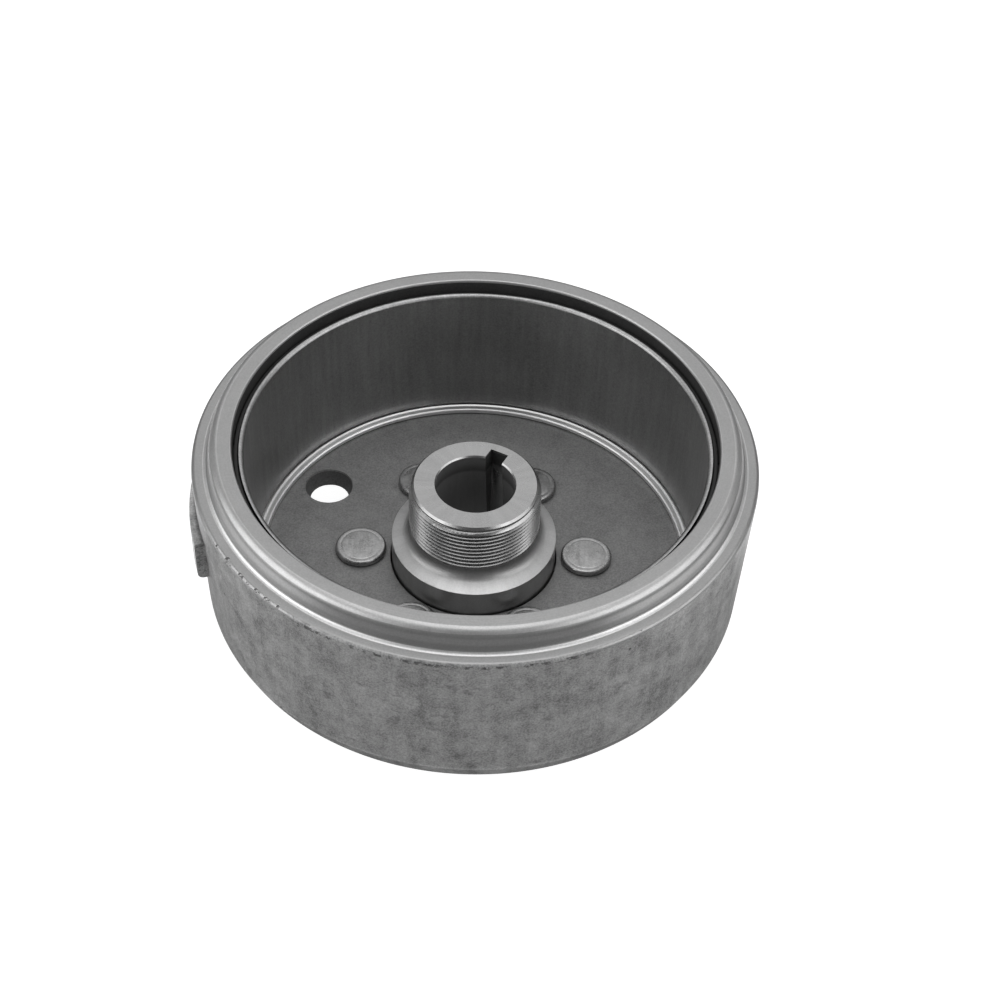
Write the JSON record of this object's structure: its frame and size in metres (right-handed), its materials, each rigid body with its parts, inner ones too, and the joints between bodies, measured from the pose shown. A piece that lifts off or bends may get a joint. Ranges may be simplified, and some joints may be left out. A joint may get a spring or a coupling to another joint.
{
  "type": "magneto flywheel",
  "caption": "Cup-shaped magneto flywheel with a stepped rim, a sleeve over its ring of magnets, a trigger lug and a riveted hub with a tapered, keyed bore and a puller thread.",
  "frame": {"origin": "on the rotation axis, in the plane of the hub's rear face, where the crankshaft enters the bore", "axes": "+Z along the rotation axis towards the drum's open side, +X through the first rivet"},
  "size_m": [0.113, 0.1124, 0.0463],
  "materials": {
    "drum_steel": "forged and part-turned steel, satin grey with faint mottling",
    "hub_steel": "bright fine-turned steel",
    "sleeve_steel": "dark satin drawn sheet",
    "seat_metal": "turned, satin",
    "rivet_steel": "cold-headed steel, satin",
    "magnet_metal": "dark sintered magnet",
    "dark_resin": "matt black moulding resin"
  },
  "bodies": {
    "root": {"drum": "drum_steel", "hub": "hub_steel", "magnet_cover": "sleeve_steel", "seat_ring": "seat_metal", "resin_seal": "dark_resin", "rivet_1": "rivet_steel", "rivet_2": "rivet_steel", "rivet_3": "rivet_steel", "rivet_4": "rivet_steel", "rivet_5": "rivet_steel", "rivet_6": "rivet_steel", "magnet_1": "magnet_metal", "magnet_2": "magnet_metal", "magnet_3": "magnet_metal", "magnet_4": "magnet_metal", "magnet_5": "magnet_metal", "magnet_6": "magnet_metal", "separator_1": "dark_resin", "separator_2": "dark_resin", "separator_3": "dark_resin", "separator_4": "dark_resin", "separator_5": "dark_resin", "separator_6": "dark_resin"}
  },
  "joints": []
}
